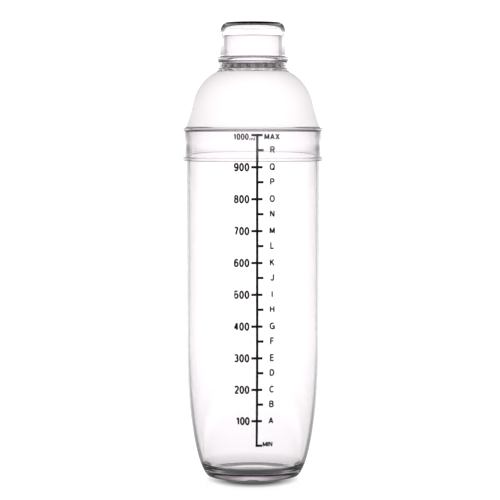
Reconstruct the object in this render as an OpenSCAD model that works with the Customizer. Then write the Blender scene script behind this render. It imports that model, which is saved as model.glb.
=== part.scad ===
// Three-piece drinks shaker: a clear graduated cup, a frosted strainer lid that slips over
// the cup's mouth, and a clear cap that slips over the lid's neck. The printed scale faces -Y.
// Millimetres, +Z up, with the origin at the centre of the foot ring's resting face.

/* [Cup] */
// Outside radius of the straight barrel
cup_radius = 42; // [40:0.1:44]
// Height of the cup from its foot to its rim
cup_height = 218.5; // [218:0.1:235]
// Thickness of the cup's wall
cup_wall = 1.8; // [1.6:0.1:2.6]
// Height of the curved stretch that narrows to the foot
taper_height = 87; // [80:0.5:95]
// How much the curved stretch draws the radius in
taper_depth = 16; // [13:0.1:16.5]
// Height of the cup's inner floor above the resting face
floor_height = 4.5; // [4:0.1:6]
// Depth of the recess inside the foot ring
punt_depth = 2; // [1.5:0.1:2.4]

/* [Lid] */
// Height of the collar that grips the cup, from its lower edge to its ledge
collar_height = 20.8; // [16:0.1:24]
// Thickness of the collar's wall where it meets the ledge
collar_wall = 1.1; // [1:0.1:1.8]
// Height of the frosted dome above the ledge
dome_height = 35.2; // [34:0.1:38]
// Thickness of the dome's wall
dome_wall = 1.7; // [1.4:0.1:2]
// Outside radius of the clear drum under the neck, which holds the strainer
drum_radius = 22; // [21.5:0.1:23]
// Outside radius of the neck that the cap slips over
neck_radius = 18.5; // [17.5:0.1:19]
// Height of the neck above the drum
neck_height = 16.3; // [14:0.1:18]

/* [Strainer] */
// Thickness of the strainer plate
plate_height = 3; // [2:0.1:3.4]
// Diameter of each strainer hole
hole_d = 3; // [2:0.1:3.4]
// Number of rings of holes round the middle one
hole_rings = 3; // [1:1:3]

/* [Cap] */
// Height of the cap
cap_height = 24.6; // [22:0.1:28]
// Thickness of the cap's wall
cap_wall = 2.05; // [1.8:0.05:2.4]

/* [Printed scale] */
// Height of the 100 ml mark above the resting face
first_mark = 39.4; // [36:0.1:40]
// Rise of the scale for each 100 ml
mark_step = 19.6; // [18.5:0.1:19.7]
// Height of the numerals
numeral_height = 5.3; // [4:0.1:5.6]
// Height of the letters
letter_height = 4.4; // [3.4:0.1:4.6]

/* [Hidden] */
$fn = 96;

gap = 0.05;                         // gap between faces that rest on each other
slip = 0.2;                         // radial clearance of the lid on the cup, and the cap on the neck

taper_reach = taper_height + 1.2;   // half height of the ellipse that shapes the taper
rim_round = 0.7;                    // rounding on each edge of the cup's rim
foot_inner = 24.4;                  // inside radius of the foot ring's resting face
punt_radius = 21.5;                 // flat part of the recess under the cup
floor_radius = 21;                  // flat part of the inner floor
inner_corner_z = 9;                 // where the inner wall begins to turn into the floor
gate_radius = 1.6;                  // moulding gate's stub at the middle of the recess
gate_depth = 0.5;

collar_bore = cup_radius + slip;
collar_radius = collar_bore + collar_wall;
bead_radius = collar_radius + 1.2;  // bead round the collar's lower edge
ledge_radius = collar_radius + 0.9;
ledge_under = cup_height + gap;
ledge_top = ledge_under + 1.75;
collar_bottom = ledge_top - collar_height;
dome_top = ledge_top + dome_height;
drum_top = dome_top + 6.4;
seat_radius = drum_radius - 2.2;    // seat of the strainer plate, inside the drum
seat_top = drum_top - 1.2;
snap_depth = 0.3;                   // bead that the plate snaps past
neck_bore = neck_radius - 2;
neck_top = drum_top + neck_height;
lip_round = 0.9;
hole_ring_step = 4.85;

cap_bottom = drum_top + gap;
cap_top = cap_bottom + cap_height;
cap_bore = neck_radius + slip;
cap_radius = cap_bore + cap_wall;
cap_draft = 0.2;                    // how much the cap narrows from its rim to its top
cap_round = [4, 6.5];               // rounding of the cap's top edge, across and down
cap_ceiling = cap_top - 2.1;
cap_rim_radius = cap_radius + 1.7;
cap_rim_height = 2.8;
small_round = 0.5;

ink = 0.08;                         // thickness of the print
ink_lift = 0.01;
pen = 0.2;                          // stroke width as a share of the character's height
letter_gap = 0.37;                  // space after a character, as a share of its height
rule_at = 2.6;                      // the rule's place round the barrel, to the right of the front line
rule_width = 1.5;
tick_height = 1.5;
numbers_end = -2.7;                 // where the numbers end, round the barrel
letters_at = 12;                    // middle of the letters, round the barrel
min_drop = 15.6;                    // from the first mark down to the MIN mark

// ---- curves ----

// Points on an ellipse's arc
function arc(cx, cy, rx, ry, from, to, steps = 8) =
    [for (i = [0 : steps]) let (a = from + (to - from) * i / steps)
        [cx + rx * cos(a), cy + ry * sin(a)]];

// Points on a cubic curve between a and d
function curve(a, b, c, d, steps = 12) =
    [for (i = [0 : steps]) let (t = i / steps, u = 1 - t)
        u * u * u * a + 3 * u * u * t * b + 3 * u * t * t * c + t * t * t * d];

function unit(v) = v / norm(v);
function left_of(v) = [-v[1], v[0]];
function segment(p, i) = unit(p[i + 1] - p[i]);

// Sideways vector at point i of a path, one unit from each segment that meets there
function mitre(p, i) =
    let (a = left_of(segment(p, max(i - 1, 0))), b = left_of(segment(p, min(i, len(p) - 2))))
        (a + b) / (1 + a * b);

// The path moved to its left by d
function beside(p, d) = [for (i = [0 : len(p) - 1]) p[i] + d * mitre(p, i)];

function reversed(p) = [for (i = [len(p) - 1 : -1 : 0]) p[i]];

// ---- cup ----

// Outside radius of the cup at height z
function cup_outside(z) =
    z >= taper_height ? cup_radius
    : cup_radius - taper_depth * (1 - sqrt(1 - pow((taper_height - z) / taper_reach, 2)));

// Slope of the cup's outside at height z, in degrees from upright
function cup_slope(z) = atan((cup_outside(z + 0.05) - cup_outside(z - 0.05)) / 0.1);

// Heights that crowd towards the foot, where the taper turns fastest
function taper_heights(from, steps = 22) =
    [for (i = [0 : steps]) from + (taper_height - from) * pow(i / steps, 1.6)];

function cup_side(from) = [for (z = taper_heights(from)) [cup_outside(z), z]];

module cup() {
    inner = beside(cup_side(inner_corner_z), cup_wall);
    corner = inner[0];
    steep = segment(inner, 0);
    lip = cup_radius - rim_round;
    lip_inner = cup_radius - cup_wall + rim_round;
    color([0.93, 0.91, 0.94, 0.35])
    rotate_extrude()
    polygon(concat(
        [[0, punt_depth - gate_depth], [gate_radius, punt_depth - gate_depth]],
        [[gate_radius + 0.3, punt_depth], [punt_radius, punt_depth]],
        arc(punt_radius, punt_depth / 2, 1.2, punt_depth / 2, 90, 0, 5),
        [[foot_inner - 1, 0.4], [foot_inner, 0]],
        cup_side(0),
        arc(lip, cup_height - rim_round, rim_round, rim_round, 0, 90, 5),
        arc(lip_inner, cup_height - rim_round, rim_round, rim_round, 90, 180, 5),
        reversed(inner),
        curve(corner, corner - 3 * steep, [floor_radius + 6, floor_height], [floor_radius, floor_height]),
        [[0, floor_height]]
    ));
}

// ---- strainer lid ----

// Outside of the dome: it leans in above the ledge, then turns over to the drum
dome_foot = [cup_radius + 0.2, ledge_top + 0.6];
dome_turn = [cup_radius - 4.1, ledge_top + 15];
dome_edge = [drum_radius + 1.1, dome_top];
dome_side = concat(
    curve(dome_foot, dome_foot + [-1.8, 4.4], dome_turn + [1, -4.8], dome_turn, 8),
    [for (i = [1 : 12]) curve(dome_turn, dome_turn + [-2.1, 10], dome_edge + [6.4, -2.8], dome_edge)[i]]
);

module strainer_lid() {
    inside = beside(dome_side, dome_wall);
    color([0.95, 0.93, 0.94, 0.7])
    rotate_extrude()
    polygon(concat(
        // collar: a rounded bead, a wall that leans in as it rises, and the ledge on top
        [[collar_bore + 0.2, collar_bottom], [bead_radius - small_round, collar_bottom]],
        arc(bead_radius - small_round, collar_bottom + small_round, small_round, small_round, -60, 0, 3),
        [[bead_radius, collar_bottom + 1.5], [bead_radius - 0.4, collar_bottom + 2]],
        [[collar_radius, ledge_top - 2.2], [ledge_radius, ledge_top - 1.6]],
        arc(ledge_radius - small_round, ledge_top - small_round, small_round, small_round, 0, 90, 4),
        dome_side,
        // the step round the dome's top, the drum, the neck and its rounded lip
        [[dome_edge[0], dome_top + 0.4], [drum_radius, dome_top + 0.6]],
        arc(drum_radius - small_round, drum_top - small_round, small_round, small_round, 0, 90, 4),
        [[neck_radius, drum_top]],
        arc(neck_radius - lip_round, neck_top - lip_round, lip_round, lip_round, 0, 90, 5),
        arc(neck_bore + lip_round, neck_top - lip_round, lip_round, lip_round, 90, 180, 5),
        // the strainer's seat, with the bead that holds the plate up in it
        [[neck_bore, seat_top], [seat_radius, seat_top], [seat_radius, seat_top - plate_height - 2 * gap]],
        [[seat_radius - snap_depth, seat_top - plate_height - 0.4], [seat_radius, dome_top - 0.8]],
        reversed(inside),
        [[inside[0][0] - 0.1, ledge_under], [collar_bore, ledge_under]]
    ));
}

module strainer_plate() {
    color([0.93, 0.91, 0.94, 0.5])
    translate([0, 0, seat_top - gap - plate_height])
    difference() {
        cylinder(h = plate_height, r = seat_radius - gap);
        for (ring = [0 : hole_rings], i = [0 : max(6 * ring, 1) - 1])
            rotate(i * 360 / max(6 * ring, 1))
            translate([ring * hole_ring_step, 0, -1])
            cylinder(h = plate_height + 2, d = hole_d, $fn = 32);
    }
}

// ---- cap ----

module cap() {
    inner_round = cap_round - [1, 2];
    inner_top = cap_ceiling - inner_round[1];
    rim_top = cap_bottom + cap_rim_height;
    top_radius = cap_radius - cap_draft;
    color([0.93, 0.91, 0.94, 0.35])
    rotate_extrude()
    polygon(concat(
        [[0, cap_ceiling]],
        arc(cap_bore - inner_round[0], inner_top, inner_round[0], inner_round[1], 90, 0, 8),
        [[cap_bore, cap_bottom], [cap_rim_radius - 0.4, cap_bottom], [cap_rim_radius, cap_bottom + 0.4]],
        arc(cap_rim_radius - small_round, rim_top - small_round, small_round, small_round, 0, 90, 4),
        arc(cap_radius + small_round, rim_top + small_round, small_round, small_round, 270, 180, 3),
        arc(top_radius - cap_round[0], cap_top - cap_round[1], cap_round[0], cap_round[1], 0, 90, 10),
        [[0, cap_top]]
    ));
}

// ---- printed scale ----

function turn(s) = s / cup_radius * 180 / PI;   // degrees for a distance s round the barrel

// The cup's drawn radius against height, so that patches of ink at any heights share one surface
drawn_side = [for (z = concat(taper_heights(0), [cup_height])) [z, cup_outside(z)]];

// A patch of ink on the cup between heights low and high, from left to right round the barrel.
// Inset thins it on both faces, so that it ends inside a patch that it crosses.
module ink_patch(low, high, left, right, inset = 0) {
    between = [for (z = taper_heights(0)) if (z > low && z < high) z];
    side = [for (z = concat([low], between, [high])) [lookup(z, drawn_side), z]];
    rotate([0, 0, turn(left) - 90])
    rotate_extrude(angle = turn(right - left), $fn = 256)
    polygon(concat(beside(side, inset - ink - ink_lift), reversed(beside(side, -inset - ink_lift))));
}

module tick(z, left, right) {
    ink_patch(z - tick_height / 2, z + tick_height / 2, left, right, 0.01);
}

module scale_rule() {
    left = rule_at - rule_width / 2;
    bottom = first_mark - min_drop;
    color([0.06, 0.06, 0.07]) {
        ink_patch(bottom, first_mark + 9 * mark_step, left, rule_at + rule_width / 2);
        for (i = [0 : 9])
            tick(first_mark + i * mark_step, rule_at - 3.6, rule_at + 3.3);
        for (i = [0 : 8])
            tick(first_mark + (i + 0.53) * mark_step, rule_at, rule_at + 3.9);
        tick(bottom, left - 0.05, rule_at + 3.9);
    }
}

function bowl(x, top, bottom, reach) =
    concat([[0, top]], arc(x, (top + bottom) / 2, reach, (top - bottom) / 2, 90, -90), [[0, bottom]]);
function ring(x, y, rx, ry) = arc(x, y, rx, ry, 0, 360, 20);
stem = [[0, 0], [0, 1]];

// Strokes of a character on a grid one unit high, as [width, strokes]. Each stroke is a path.
function character(c) =
    c == "0" ? [0.56, [ring(0.28, 0.5, 0.28, 0.5)]] :
    c == "1" ? [0.40, [[[0.3, 0], [0.3, 1]], [[0.33, 0.98], [0.04, 0.74]]]] :
    c == "2" ? [0.56, [concat(arc(0.28, 0.72, 0.27, 0.28, 165, -30), [[0.02, 0]]), [[-0.06, 0], [0.58, 0]]]] :
    c == "3" ? [0.56, [arc(0.27, 0.76, 0.24, 0.24, 150, -90), arc(0.27, 0.27, 0.29, 0.27, 90, -150)]] :
    c == "4" ? [0.58, [[[0.42, 0], [0.42, 1]], [[0.4, 1], [0.02, 0.3]], [[-0.05, 0.27], [0.62, 0.27]]]] :
    c == "5" ? [0.56, [concat([[0.52, 1], [0.1, 1], [0.05, 0.5]], arc(0.27, 0.31, 0.29, 0.31, 125, -150))]] :
    c == "6" ? [0.56, [ring(0.28, 0.3, 0.28, 0.3),
                       concat(arc(0.31, 0.55, 0.31, 0.45, 40, 180), [[0, 0.3]])]] :
    c == "7" ? [0.54, [[[-0.04, 1], [0.58, 1]], [[0.53, 0.98], [0.18, 0]]]] :
    c == "8" ? [0.56, [ring(0.28, 0.76, 0.23, 0.24), ring(0.28, 0.26, 0.28, 0.26)]] :
    c == "9" ? [0.56, [ring(0.28, 0.7, 0.28, 0.3),
                       concat([[0.56, 0.7]], arc(0.25, 0.45, 0.31, 0.45, 0, -140))]] :
    c == "A" ? [0.68, [[[0, 0], [0.34, 1]], [[0.34, 1], [0.68, 0]], [[0.12, 0.3], [0.56, 0.3]]]] :
    c == "B" ? [0.60, [stem, bowl(0.32, 1, 0.54, 0.24), bowl(0.34, 0.54, 0, 0.27)]] :
    c == "C" ? [0.68, [arc(0.37, 0.5, 0.37, 0.5, 48, 312, 14)]] :
    c == "D" ? [0.64, [stem, bowl(0.26, 1, 0, 0.38)]] :
    c == "E" ? [0.56, [[[0.56, 1], [0, 1], [0, 0], [0.58, 0]], [[0, 0.53], [0.52, 0.53]]]] :
    c == "F" ? [0.52, [[[0.54, 1], [0, 1], [0, -0.08]], [[0, 0.5], [0.46, 0.5]]]] :
    c == "G" ? [0.70, [arc(0.37, 0.5, 0.37, 0.5, 48, 345, 14), [[0.4, 0.47], [0.73, 0.47], [0.73, -0.05]]]] :
    c == "H" ? [0.62, [stem, [[0.62, 0], [0.62, 1]], [[0, 0.52], [0.62, 0.52]]]] :
    c == "I" ? [0.00, [stem]] :
    c == "J" ? [0.46, [concat([[0.46, 1.05]], arc(0.23, 0.24, 0.23, 0.24, 0, -170))]] :
    c == "K" ? [0.62, [stem, [[0.58, 1.03], [0.02, 0.36]], [[0.22, 0.6], [0.62, -0.04]]]] :
    c == "L" ? [0.50, [[[0, 1.08], [0, 0], [0.52, 0]]]] :
    c == "M" ? [0.74, [stem, [[0.02, 1], [0.37, 0.1]], [[0.37, 0.1], [0.72, 1]], [[0.74, 0], [0.74, 1]]]] :
    c == "N" ? [0.62, [stem, [[0.02, 1], [0.6, 0]], [[0.62, 0], [0.62, 1]]]] :
    c == "O" ? [0.74, [ring(0.37, 0.5, 0.37, 0.5)]] :
    c == "P" ? [0.58, [stem, bowl(0.32, 1, 0.46, 0.27)]] :
    c == "Q" ? [0.74, [ring(0.37, 0.5, 0.37, 0.5), [[0.44, 0.26], [0.76, -0.08]]]] :
    c == "R" ? [0.62, [stem, bowl(0.33, 1, 0.48, 0.26), [[0.34, 0.48], [0.62, -0.04]]]] :
    c == "X" ? [0.62, [[[0, 0], [0.62, 1]], [[0, 1], [0.62, 0]]]] :
    c == "m" ? [1.04, [[[0, 0], [0, 0.66]], concat(arc(0.26, 0.42, 0.26, 0.2, 180, 0), [[0.52, 0]]),
                       concat(arc(0.78, 0.42, 0.26, 0.2, 180, 0), [[1.04, 0]])]] :
    c == "l" ? [0.00, [stem]] :
    [0.3, []];

// Numerals are drawn narrower than letters
function squeeze(c) = ord(c) <= ord("9") ? 0.84 : 1;

// Width of the first n characters of a line with the gaps after them, on the one-unit grid
function line_width(line, n, i = 0) =
    i >= n ? 0 : (character(line[i])[0] + letter_gap) * squeeze(line[i]) + line_width(line, n, i + 1);

// One stroke of the pen. A path that ends where it began is drawn as a ring.
module stroke(path, width) {
    last = len(path) - 1;
    if (norm(path[0] - path[last]) < 0.001) {
        lap = concat([path[last - 1]], path, [path[1]]);
        inside = beside(lap, width / 2);
        outside = beside(lap, -width / 2);
        difference() {
            polygon([for (i = [1 : last]) outside[i]]);
            polygon([for (i = [1 : last]) inside[i]]);
        }
    } else {
        polygon(concat(beside(path, width / 2), reversed(beside(path, -width / 2))));
    }
}

// One character, flat, with its lower left at the origin. The pen stays inside the height.
module drawn(c, height) {
    width = pen * height;
    rise = height - width;
    for (path = character(c)[1])
        stroke([for (p = path) [p[0] * squeeze(c) * rise, p[1] * rise + width / 2]], width);
}

// A line of characters as thin plates, each square to the barrel where it stands, with its left
// end at s round the barrel and its middle at height z
module print_line(line, s, z, height) {
    rise = height * (1 - pen);
    for (i = [0 : len(line) - 1]) {
        half = character(line[i])[0] * squeeze(line[i]) * rise / 2;
        rotate([0, 0, turn(s + line_width(line, i) * rise + half)])
        translate([0, -cup_outside(z) - ink_lift, z])
        rotate([90 + cup_slope(z), 0, 0])
        linear_extrude(ink)
        translate([-half, -height / 2])
        drawn(line[i], height);
    }
}

module scale_numerals() {
    rise = numeral_height * (1 - pen);
    top = first_mark + 9 * mark_step;
    color([0.06, 0.06, 0.07]) {
        for (i = [1 : 9])
            let (line = str(i * 100), width = (line_width(line, 3) - letter_gap * squeeze("0")) * rise)
            print_line(line, numbers_end - width, first_mark + (i - 1) * mark_step, numeral_height);
        print_line("1000", numbers_end - 9, top - 0.95, 4.1);
        print_line("ml", numbers_end + 0.85, top - 2.3, 2.5);
    }
}

module scale_letters() {
    codes = "ABCDEFGHIJKLMNOPQR";
    word_at = 7.3;
    color([0.06, 0.06, 0.07]) {
        for (i = [0 : len(codes) - 1])
            let (half = character(codes[i])[0] * letter_height * (1 - pen) / 2,
                 mark = first_mark + (i / 2 + (i % 2) * 0.03) * mark_step)
            print_line(codes[i], letters_at - half, mark + 0.3, letter_height);
        print_line("MAX", word_at, first_mark + 9 * mark_step - 0.9, 4);
        print_line("MIN", word_at, first_mark - min_drop + 0.9, 3.6);
    }
}

cup();
scale_rule();
scale_numerals();
scale_letters();
strainer_lid();
strainer_plate();
cap();
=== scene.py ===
"""Looks, light and camera for the three-piece drinks shaker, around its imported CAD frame."""
import math

import bmesh
import bpy
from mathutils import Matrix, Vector


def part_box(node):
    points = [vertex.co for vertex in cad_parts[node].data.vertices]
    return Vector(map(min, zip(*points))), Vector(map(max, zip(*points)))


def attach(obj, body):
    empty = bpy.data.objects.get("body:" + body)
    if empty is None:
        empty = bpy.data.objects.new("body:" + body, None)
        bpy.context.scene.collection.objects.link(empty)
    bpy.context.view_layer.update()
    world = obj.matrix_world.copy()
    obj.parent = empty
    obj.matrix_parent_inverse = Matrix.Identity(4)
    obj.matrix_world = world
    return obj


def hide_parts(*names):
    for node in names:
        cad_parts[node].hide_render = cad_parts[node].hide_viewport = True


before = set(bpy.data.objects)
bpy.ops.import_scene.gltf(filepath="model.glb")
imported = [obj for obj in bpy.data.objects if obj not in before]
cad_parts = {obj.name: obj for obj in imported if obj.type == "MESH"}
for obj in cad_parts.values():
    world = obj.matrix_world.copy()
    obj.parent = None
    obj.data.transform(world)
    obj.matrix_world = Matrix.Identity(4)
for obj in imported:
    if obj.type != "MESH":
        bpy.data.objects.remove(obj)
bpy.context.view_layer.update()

MM = 0.001          # the profiles below are in millimetres, and become metres in lathe()
SEGMENTS = 192      # round the axis


# ---- sizes, from the CAD frame ----


def extent(node):
    """Greatest radius, lowest z and highest z of a CAD node, in millimetres."""
    low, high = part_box(node)
    return high.x / MM, low.z / MM, high.z / MM


cup_radius, _, cup_height = extent("cup")
bead_radius, collar_bottom, neck_top = extent("strainer_lid")
plate_radius, plate_bottom, plate_top = extent("strainer_plate")
cap_rim_radius, cap_bottom, cap_top = extent("cap")

gap = 0.05          # between faces that rest on each other
slip = 0.2          # radial clearance of the lid on the cup, and of the cap on the neck

cup_wall = 1.8
taper_height = 87.0
taper_reach = taper_height + 1.2
taper_depth = 16.0
floor_height = 4.5
floor_radius = 21.0
inner_corner_z = 9.0
punt_depth = 2.0
punt_radius = 21.5
foot_inner = 24.4
gate_radius = 1.6
gate_depth = 0.5

collar_bore = cup_radius + slip
collar_radius = bead_radius - 1.2
ledge_radius = collar_radius + 0.9
ledge_under = cup_height + gap
ledge_top = ledge_under + 1.75
dome_top = ledge_top + 35.2
dome_wall = 1.7
drum_radius = 22.0
drum_top = cap_bottom - gap
seat_radius = plate_radius + gap
seat_top = plate_top + gap
snap_depth = 0.3
neck_radius = 18.5
neck_bore = neck_radius - 2

cap_bore = neck_radius + slip
cap_radius = cap_rim_radius - 1.7
cap_draft = 0.2
cap_round = (4.0, 6.5)
cap_rim_height = 2.8
cap_ceiling = cap_top - 2.1

hole_radius = 1.5
hole_step = 4.85
hole_rings = 3
outer_row = (hole_rings - 0.5) * hole_step      # the outermost holes lie past this radius
chamfer = 0.25


# ---- outlines ----


def arc(cx, cz, rx, rz, start, end, steps=12):
    """Points on an ellipse's arc, from one angle to another in degrees."""
    angles = [math.radians(start + (end - start) * i / steps) for i in range(steps + 1)]
    return [Vector((cx + rx * math.cos(a), cz + rz * math.sin(a))) for a in angles]


def curve(a, b, c, d, steps=32):
    """Points on the cubic curve from a to d."""
    a, b, c, d = (Vector(p) for p in (a, b, c, d))
    points = []
    for i in range(steps + 1):
        t = i / steps
        u = 1 - t
        points.append(u * u * u * a + 3 * u * u * t * b + 3 * u * t * t * c + t * t * t * d)
    return points


def beside(path, distance):
    """The path moved to its left."""
    moved = []
    last = len(path) - 1
    lefts = [Vector((a.y - b.y, b.x - a.x)).normalized() for a, b in zip(path, path[1:])]
    for i, point in enumerate(path):
        before, after = lefts[max(i - 1, 0)], lefts[min(i, last - 1)]
        moved.append(point + distance * (before + after) / (1 + before.dot(after)))
    return moved


def soften(corners, steps=5):
    """A path through (r, z, rounding) corners, each rounded by that much along both its sides."""
    path = []
    for i, (x, z, cut) in enumerate(corners):
        here = Vector((x, z))
        if cut == 0 or i in (0, len(corners) - 1):
            path.append(here)
            continue
        before = Vector(corners[i - 1][:2]) - here
        after = Vector(corners[i + 1][:2]) - here
        start = here + before.normalized() * min(cut, before.length * 0.49)
        end = here + after.normalized() * min(cut, after.length * 0.49)
        for k in range(steps + 1):
            t = k / steps
            path.append((1 - t) ** 2 * start + 2 * t * (1 - t) * here + t * t * end)
    return path


# ---- meshes ----


def piece(name, bm, body, replaced, sharp=32):
    """A finished mesh as a piece that rides on a CAD body in place of a CAD node."""
    bmesh.ops.recalc_face_normals(bm, faces=bm.faces)
    mesh = bpy.data.meshes.new(name)
    bm.to_mesh(mesh)
    bm.free()
    mesh.shade_smooth()
    mesh.set_sharp_from_angle(angle=math.radians(sharp))
    ob = bpy.data.objects.new(name, mesh)
    bpy.context.scene.collection.objects.link(ob)
    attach(ob, body)
    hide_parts(replaced)
    return ob


def lathe(outline):
    """A closed solid of revolution. The outline runs from the axis round and back to the axis."""
    bm = bmesh.new()
    rings = []
    for point in outline:
        if point.x < 1e-6:
            rings.append([bm.verts.new((0, 0, point.y * MM))])
            continue
        turns = [2 * math.pi * k / SEGMENTS for k in range(SEGMENTS)]
        rings.append([
            bm.verts.new((point.x * MM * math.cos(a), point.x * MM * math.sin(a), point.y * MM))
            for a in turns
        ])
    closed = len(rings[0]) > 1
    for low, high in zip(rings, rings[1:] + (rings[:1] if closed else [])):
        for k in range(SEGMENTS):
            n = (k + 1) % SEGMENTS
            if len(low) == 1:
                bm.faces.new((low[0], high[n], high[k]))
            elif len(high) == 1:
                bm.faces.new((low[k], low[n], high[0]))
            else:
                bm.faces.new((low[k], low[n], high[n], high[k]))
    return bm


def cup_outside(z):
    """Outside radius of the cup at height z."""
    if z >= taper_height:
        return cup_radius
    return cup_radius - taper_depth * (1 - math.sqrt(1 - ((taper_height - z) / taper_reach) ** 2))


def cup_side(start, steps=72):
    """Outside of the cup from height start to the rim's rounding, closer together near the foot."""
    heights = [start + (taper_height - start) * (i / steps) ** 1.6 for i in range(steps + 1)]
    return [Vector((cup_outside(z), z)) for z in heights]


def make_cup():
    rim = 0.7
    inner = beside(cup_side(inner_corner_z), cup_wall)
    corner = inner[0]
    steep = (inner[1] - inner[0]).normalized()
    foot = cup_outside(0)
    outline = soften([
        (0, punt_depth - gate_depth, 0),
        (gate_radius, punt_depth - gate_depth, 0.15),
        (gate_radius + 0.3, punt_depth, 0.15),
        (punt_radius, punt_depth, 1.2),
        (punt_radius + 1.5, 0.6, 0.5),
        (foot_inner, 0, 0.3),
        (foot - 0.4, 0, 0),
    ])
    outline += curve((foot, 0.12), (foot + 0.3, 0.3), (foot + 0.5, 0.4), (cup_outside(0.7), 0.7), 4)
    outline += cup_side(0.9)
    outline += arc(cup_radius - rim, cup_height - rim, rim, rim, 0, 90)
    outline += arc(cup_radius - cup_wall + rim, cup_height - rim, rim, rim, 90, 180)
    outline += inner[::-1]
    outline += curve(
        corner, corner - 3 * steep, (floor_radius + 6, floor_height), (floor_radius, floor_height)
    )[1:]
    outline.append(Vector((0, floor_height)))
    ob = piece("cup_body", lathe(outline), "cup", "cup")
    ob.data.materials.append(clear_plastic)
    return ob


def make_lid():
    foot = Vector((cup_radius + 0.2, ledge_top + 0.6))
    turn = Vector((cup_radius - 4.1, ledge_top + 15))
    edge = Vector((drum_radius + 1.1, dome_top))
    dome = curve(foot, foot + Vector((-1.8, 4.4)), turn + Vector((1, -4.8)), turn, 24)
    dome += curve(turn, turn + Vector((-2.1, 10)), edge + Vector((6.4, -2.8)), edge, 40)[1:]
    inside = beside(dome, dome_wall)
    outline = soften([
        (collar_bore + 0.2, collar_bottom + 0.6, 0),
        (collar_bore + 0.4, collar_bottom, 0.2),
        (bead_radius, collar_bottom, 0.6),
        (bead_radius, collar_bottom + 1.7, 0.5),
        (bead_radius - 0.45, collar_bottom + 2.2, 0.4),
        (collar_radius, ledge_top - 2.1, 0.5),
        (ledge_radius, ledge_top - 1.5, 0.3),
        (ledge_radius, ledge_top, 0.6),
        (cup_radius + 1.1, ledge_top, 0.5),
    ])
    outline += dome
    outline += soften([
        (edge.x, dome_top + 0.45, 0),
        (drum_radius, dome_top + 0.6, 0.15),
        (drum_radius, drum_top, 0.6),
        (neck_radius, drum_top, 0.3),
        (neck_radius, neck_top, 0.95),
        (neck_bore, neck_top, 0.95),
        (neck_bore, seat_top, 0.15),
        (seat_radius, seat_top, 0.1),
        (seat_radius, plate_bottom - gap, 0),
        (seat_radius - snap_depth, plate_bottom - 0.4, 0.2),
        (seat_radius, dome_top - 0.8, 0),
    ])
    outline += inside[::-1]
    outline += soften([
        (inside[0].x - 0.1, ledge_under, 0),
        (collar_bore, ledge_under, 0.1),
        (collar_bore, collar_bottom + 3, 0),
    ])
    ob = piece("lid_moulding", lathe(outline), "lid", "strainer_lid")
    ob.data.materials.append(clear_plastic)
    ob.data.materials.append(frosted_plastic)
    frost_start = ledge_top + 0.5
    frost_end = dome_top + 0.1
    for face in ob.data.polygons:
        middle = face.center
        outward = middle.x * face.normal.x + middle.y * face.normal.y > 0
        if outward and frost_start * MM < middle.z < frost_end * MM:
            face.material_index = 1
    return ob


def make_strainer():
    """A flat disc with rings of round holes, chamfered on both faces."""
    bm = bmesh.new()

    def tube(cx, cy, radius, widen, count):
        """Four rings down an upright wall, with its ends chamfered by widen."""
        rings = []
        for r, z in (
            (radius + widen, plate_top), (radius, plate_top - chamfer),
            (radius, plate_bottom + chamfer), (radius + widen, plate_bottom),
        ):
            turns = [2 * math.pi * k / count for k in range(count)]
            rings.append([
                bm.verts.new(((cx + r * math.cos(a)) * MM, (cy + r * math.sin(a)) * MM, z * MM))
                for a in turns
            ])
        for upper, lower in zip(rings, rings[1:]):
            for k in range(count):
                n = (k + 1) % count
                bm.faces.new((upper[k], upper[n], lower[n], lower[k]))
        return rings[0], rings[-1]

    tops, bottoms = [], []
    walls = [(0, 0, plate_radius, -chamfer, SEGMENTS)]
    for ring in range(hole_rings + 1):
        count = max(6 * ring, 1)
        for i in range(count):
            a = 2 * math.pi * i / count
            out = ring * hole_step
            walls.append((out * math.cos(a), out * math.sin(a), hole_radius, chamfer, 40))
    for wall in walls:
        top, bottom = tube(*wall)
        tops.append(top)
        bottoms.append(bottom)
    for loops in (tops, bottoms):
        edges = [bm.edges.get((loop[k - 1], loop[k])) for loop in loops for k in range(len(loop))]
        bmesh.ops.triangle_fill(bm, edges=edges, use_beauty=True)
    ob = piece("strainer_disc", bm, "lid", "strainer_plate")
    ob.data.materials.append(clear_plastic)
    ob.data.materials.append(hole_shade_plastic)
    for face in ob.data.polygons:
        out = face.center.xy.length / MM
        upright = abs(face.normal.z) < 0.5
        # The upright walls of the outer row of holes get the painted shade material, which darkens them as
        # if in shade.
        if upright and outer_row < out < plate_radius - 1:
            face.material_index = 1
    return ob


def make_cap():
    inner_round = (cap_round[0] - 1, cap_round[1] - 2)
    inner_top = cap_ceiling - inner_round[1]
    top_radius = cap_radius - cap_draft
    rim_top = cap_bottom + cap_rim_height
    outline = [Vector((0, cap_ceiling))]
    outline += arc(cap_bore - inner_round[0], inner_top, *inner_round, 90, 0, 20)
    outline += soften([
        (cap_bore, inner_top - 1, 0),
        (cap_bore, cap_bottom, 0.3),
        (cap_rim_radius, cap_bottom, 0.7),
        (cap_rim_radius, rim_top, 0.8),
        (cap_radius, rim_top, 0.5),
        (cap_radius, rim_top + 1.5, 0),
    ])
    outline += arc(top_radius - cap_round[0], cap_top - cap_round[1], *cap_round, 0, 90, 28)
    outline.append(Vector((0, cap_top)))
    ob = piece("cap_moulding", lathe(outline), "cap", "cap")
    ob.data.materials.append(clear_plastic)
    return ob


# ---- materials ----


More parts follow.
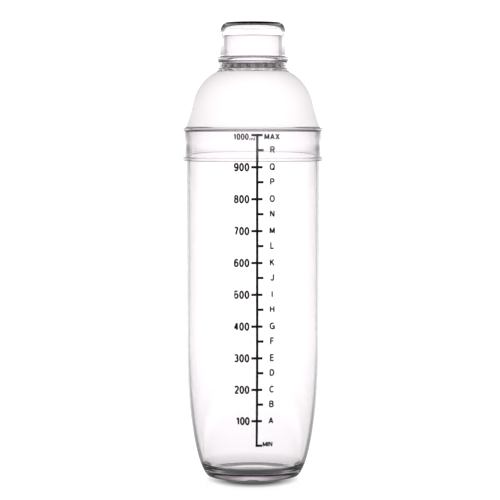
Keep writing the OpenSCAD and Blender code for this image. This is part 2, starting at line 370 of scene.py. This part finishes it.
class Nodes:
    """A material's or a world's node tree, with one call per node."""

    def __init__(self, owner):
        owner.use_nodes = True
        self.tree = owner.node_tree
        self.tree.nodes.clear()

    def set(self, socket, value):
        """Give an input a number or a colour, or link it to another node's output."""
        if isinstance(value, bpy.types.NodeSocket):
            self.tree.links.new(value, socket)
        else:
            socket.default_value = value

    def add(self, kind, settings=None, **inputs):
        """A node of that kind, with its inputs by name."""
        made = self.tree.nodes.new(kind)
        for key, value in (settings or {}).items():
            setattr(made, key, value)
        for key, value in inputs.items():
            self.set(made.inputs[key.replace("_", " ")], value)
        return made

    def maths(self, operation, a, b):
        made = self.add("ShaderNodeMath", {"operation": operation})
        self.set(made.inputs[0], a)
        self.set(made.inputs[1], b)
        return made.outputs[0]

    def noise(self, place, scale, detail=2.0, stretch=(1, 1, 1)):
        """Values from 0 to 1 of a noise over the object's own place."""
        spread = self.add("ShaderNodeMapping", Vector=place, Scale=stretch).outputs[0]
        return self.add("ShaderNodeTexNoise", Vector=spread, Scale=scale, Detail=detail).outputs[0]

    def between(self, value, low, high, out_low, out_high):
        """The value's range low to high spread over out_low to out_high."""
        return self.add(
            "ShaderNodeMapRange", Value=value, From_Min=low, From_Max=high, To_Min=out_low, To_Max=out_high
        ).outputs[0]

    def blend(self, factor, first, second):
        mix = self.add("ShaderNodeMix", {"data_type": "RGBA"}, Factor=factor, A=first, B=second)
        return mix.outputs["Result"]

    def bump(self, height, strength, distance):
        return self.add("ShaderNodeBump", Height=height, Strength=strength, Distance=distance).outputs[0]


def plastic_volume(nodes):
    """The faint pinkish grey that shows where the eye looks a long way through the plastic."""
    return nodes.add("ShaderNodeVolumeAbsorption", Color=(0.4, 0.25, 0.36, 1), Density=15.0).outputs[0]


def make_clear_plastic():
    """Polished, moulded clear plastic with faint flow waves, hairline scratches and smudges."""
    material = bpy.data.materials.new("clear_plastic")
    nodes = Nodes(material)
    place = nodes.add("ShaderNodeTexCoord").outputs["Object"]
    smudge = nodes.between(nodes.noise(place, 28, 4), 0.45, 0.75, 0.012, 0.05)
    hairline = nodes.between(nodes.noise(place, 260, 2, (1, 1, 0.06)), 0.66, 0.8, 0, 0.05)
    shader = nodes.add(
        "ShaderNodeBsdfPrincipled",
        Base_Color=nodes.blend(nodes.noise(place, 9), (1, 0.985, 0.995, 1), (0.985, 0.97, 0.98, 1)),
        Roughness=nodes.maths("ADD", smudge, hairline),
        IOR=1.58,
        Normal=nodes.bump(nodes.noise(place, 45, 1), 0.02, 0.001),
        Transmission_Weight=1.0,
    )
    nodes.add("ShaderNodeOutputMaterial", Surface=shader.outputs[0], Volume=plastic_volume(nodes))
    return material


def make_hole_shade_plastic():
    """Painted shade for the walls of the outer row of holes: a dark grey plastic that stands in for the
    shade inside the bores, with streaky random tone.
    """
    material = bpy.data.materials.new("hole_shade_plastic")
    nodes = Nodes(material)
    place = nodes.add("ShaderNodeTexCoord").outputs["Object"]
    streaks = nodes.noise(place, 900, 2, (1, 1, 0.2))
    shader = nodes.add(
        "ShaderNodeBsdfPrincipled",
        Base_Color=nodes.blend(streaks, (0.12, 0.11, 0.12, 1), (0.5, 0.47, 0.49, 1)),
        Roughness=0.12,
        IOR=1.58,
        Transmission_Weight=0.9,
    )
    nodes.add("ShaderNodeOutputMaterial", Surface=shader.outputs[0], Volume=plastic_volume(nodes))
    return material


def make_frosted_plastic():
    """The clear plastic with the fine grain of a blasted mould, for the dome's outside."""
    material = bpy.data.materials.new("frosted_plastic")
    nodes = Nodes(material)
    place = nodes.add("ShaderNodeTexCoord").outputs["Object"]
    cloud = nodes.noise(place, 22, 4)
    shader = nodes.add(
        "ShaderNodeBsdfPrincipled",
        Base_Color=nodes.blend(cloud, (1, 0.965, 0.975, 1), (0.97, 0.93, 0.945, 1)),
        Roughness=nodes.between(cloud, 0.3, 0.7, 0.34, 0.48),
        IOR=1.58,
        Normal=nodes.bump(nodes.noise(place, 2600, 3), 0.25, 0.0001),
        Transmission_Weight=0.35,
    )
    nodes.add("ShaderNodeOutputMaterial", Surface=shader.outputs[0], Volume=plastic_volume(nodes))
    return material


def make_ink():
    """Screen-printed black ink, a little uneven and worn thin in specks."""
    material = bpy.data.materials.new("black_ink")
    nodes = Nodes(material)
    place = nodes.add("ShaderNodeTexCoord").outputs["Object"]
    uneven = nodes.noise(place, 900, 3)
    specks = nodes.noise(place, 350, 3)
    shader = nodes.add(
        "ShaderNodeBsdfPrincipled",
        Base_Color=nodes.blend(specks, (0.001, 0.001, 0.0013, 1), (0.005, 0.005, 0.0055, 1)),
        Roughness=nodes.between(uneven, 0.3, 0.7, 0.4, 0.65),
        Specular_IOR_Level=0.1,
        Normal=nodes.bump(uneven, 0.2, 0.00005),
    )
    nodes.add("ShaderNodeOutputMaterial", Surface=shader.outputs[0])
    return material


clear_plastic = make_clear_plastic()
hole_shade_plastic = make_hole_shade_plastic()
frosted_plastic = make_frosted_plastic()
black_ink = make_ink()

make_cup()
make_lid()
make_strainer()
make_cap()

for node in ("scale_rule", "scale_numerals", "scale_letters"):
    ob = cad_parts[node]
    ob.data.materials.clear()
    ob.data.materials.append(black_ink)


# ---- floor, light and camera ----

camera_place = Vector((-0.0018, -1.37, 0.2185))
camera_target = Vector((-0.0018, 0, 0.1431))
camera_angle = 13.16        # degrees, over the picture's whole width

surround = 1.5              # strength of the white studio
front_light = 3.6           # strength that matt surfaces get from in front of the shaker
back_light = 1.15           # and from behind it

floor_half = 30.0
floor_level = -0.0002       # just under the foot, so that the two don't share a plane
# The contact shadow is painted: the floor's colour and emission are darkened over this disc, not shaded by
# the shaker.
shadow_core = 0.017         # radius of the dark middle of the contact shadow
shadow_rim = 0.029          # radius where it has faded out
shadow_shift = 0.0128       # how far it lies in front of the axis, after the stretch
shadow_stretch = 0.8        # squeezes y, so that the shadow is longer towards the camera
shadow_back = (-0.015, -0.006)      # y over which it ends under the cup


def grey_ramp(nodes, value, stops):
    """Greys by value, from (value, grey) stops. Values run from 0 to 1."""
    ramp = nodes.add("ShaderNodeValToRGB", Fac=value)
    ends = ramp.color_ramp.elements
    while len(ends) < len(stops):
        ends.new(0.5)
    for end, (position, grey) in zip(ends, stops):
        end.position = position
        end.color = (grey, grey, grey, 1)
    return ramp.outputs[0]


def reflected(nodes):
    """1 for light paths that have bounced off something glossy, and 0 for the others."""
    depth = nodes.add("ShaderNodeLightPath").outputs["Glossy Depth"]
    return nodes.maths("MINIMUM", depth, 1.0)


def flanks(nodes, direction):
    """How dark a level reflection finds the studio: most at the sides, and not at all right behind."""
    flat = nodes.add("ShaderNodeVectorMath", {"operation": "NORMALIZE"}, Vector=direction).outputs[0]
    back = nodes.add("ShaderNodeSeparateXYZ", Vector=flat).outputs["Y"]
    turned = nodes.between(back, -1, 1, 0, 1)
    return grey_ramp(nodes, turned, [(0, 0.5), (0.47, 0.7), (0.91, 0.7), (0.975, 0)])


def make_floor():
    """A white, faintly glossy sweep with a painted contact shadow. Reflections see it dim near the shaker.
    """
    signs = [(-1, -1), (1, -1), (1, 1), (-1, 1)]
    corners = [(x * floor_half, y * floor_half, floor_level) for x, y in signs]
    mesh = bpy.data.meshes.new("floor")
    mesh.from_pydata(corners, [], [(0, 1, 2, 3)])
    ob = bpy.data.objects.new("floor", mesh)
    bpy.context.scene.collection.objects.link(ob)
    material = bpy.data.materials.new("white_sweep")
    nodes = Nodes(material)
    place = nodes.add("ShaderNodeTexCoord").outputs["Object"]
    away = nodes.add("ShaderNodeVectorMath", {"operation": "LENGTH"}, Vector=place).outputs["Value"]
    near = nodes.between(away, 0.05, 0.5, 0.4, 0.0)
    unlit = nodes.maths("MULTIPLY", reflected(nodes), nodes.maths("MAXIMUM", near, flanks(nodes, place)))
    # Painted contact shadow: a darker, less glowing disc shifted towards the camera, cut off under the
    # back of the cup.
    forward = nodes.add(
        "ShaderNodeMapping", Vector=place, Location=(0, shadow_shift, 0), Scale=(1, shadow_stretch, 1)
    ).outputs[0]
    ahead = nodes.add("ShaderNodeVectorMath", {"operation": "LENGTH"}, Vector=forward).outputs["Value"]
    inside_rim = nodes.between(ahead, shadow_core, shadow_rim, 0.9, 0.0)
    back = nodes.add("ShaderNodeSeparateXYZ", Vector=place).outputs["Y"]
    in_front = nodes.between(back, *shadow_back, 0.95, 0.0)
    dim = nodes.maths("MAXIMUM", unlit, nodes.maths("MINIMUM", in_front, inside_rim))
    shader = nodes.add(
        "ShaderNodeBsdfPrincipled",
        Base_Color=nodes.blend(dim, (0.25, 0.25, 0.25, 1), (0, 0, 0, 1)),
        Roughness=0.18,
        Emission_Color=(1, 1, 1, 1),
        Emission_Strength=nodes.between(dim, 0, 1, 0.8, 0),
    )
    nodes.add("ShaderNodeOutputMaterial", Surface=shader.outputs[0])
    mesh.materials.append(material)


def make_world():
    """A white surround that darkens overhead. Reflections see a dimmer one, so clear edges show."""
    world = bpy.data.worlds.new("studio")
    bpy.context.scene.world = world
    nodes = Nodes(world)
    direction = nodes.add("ShaderNodeTexCoord").outputs["Generated"]
    height = nodes.add("ShaderNodeSeparateXYZ", Vector=direction).outputs["Z"]
    lit = grey_ramp(nodes, height, [(0.42, 1.0), (0.8, 0.5), (1.0, 0.25)])
    above = grey_ramp(nodes, height, [(0.05, 1.0), (0.13, 0.3), (0.9, 0.03)])
    level = nodes.between(height, 0.02, 0.06, 1.0, 0.0)
    unlit = nodes.maths("MULTIPLY", level, flanks(nodes, direction))
    dim = nodes.blend(unlit, above, (0, 0, 0, 1))
    matt = nodes.add("ShaderNodeLightPath").outputs["Is Diffuse Ray"]
    back = nodes.add("ShaderNodeSeparateXYZ", Vector=direction).outputs["Y"]
    from_front = nodes.between(back, -1, 0, front_light, back_light)
    light = nodes.add(
        "ShaderNodeBackground",
        Color=nodes.blend(reflected(nodes), lit, dim),
        Strength=nodes.between(matt, 0, 1, surround, from_front),
    )
    nodes.add("ShaderNodeOutputWorld", Surface=light.outputs[0])


def make_camera():
    """Level with the top of the collar, and looking down a little."""
    data = bpy.data.cameras.new("camera")
    data.angle = math.radians(camera_angle)
    data.clip_start = 0.01
    ob = bpy.data.objects.new("camera", data)
    ob.location = camera_place
    ob.rotation_euler = (camera_target - camera_place).to_track_quat("-Z", "Y").to_euler()
    bpy.context.scene.collection.objects.link(ob)
    bpy.context.scene.camera = ob


make_floor()
make_world()
make_camera()
bpy.context.scene.view_settings.view_transform = "Standard"
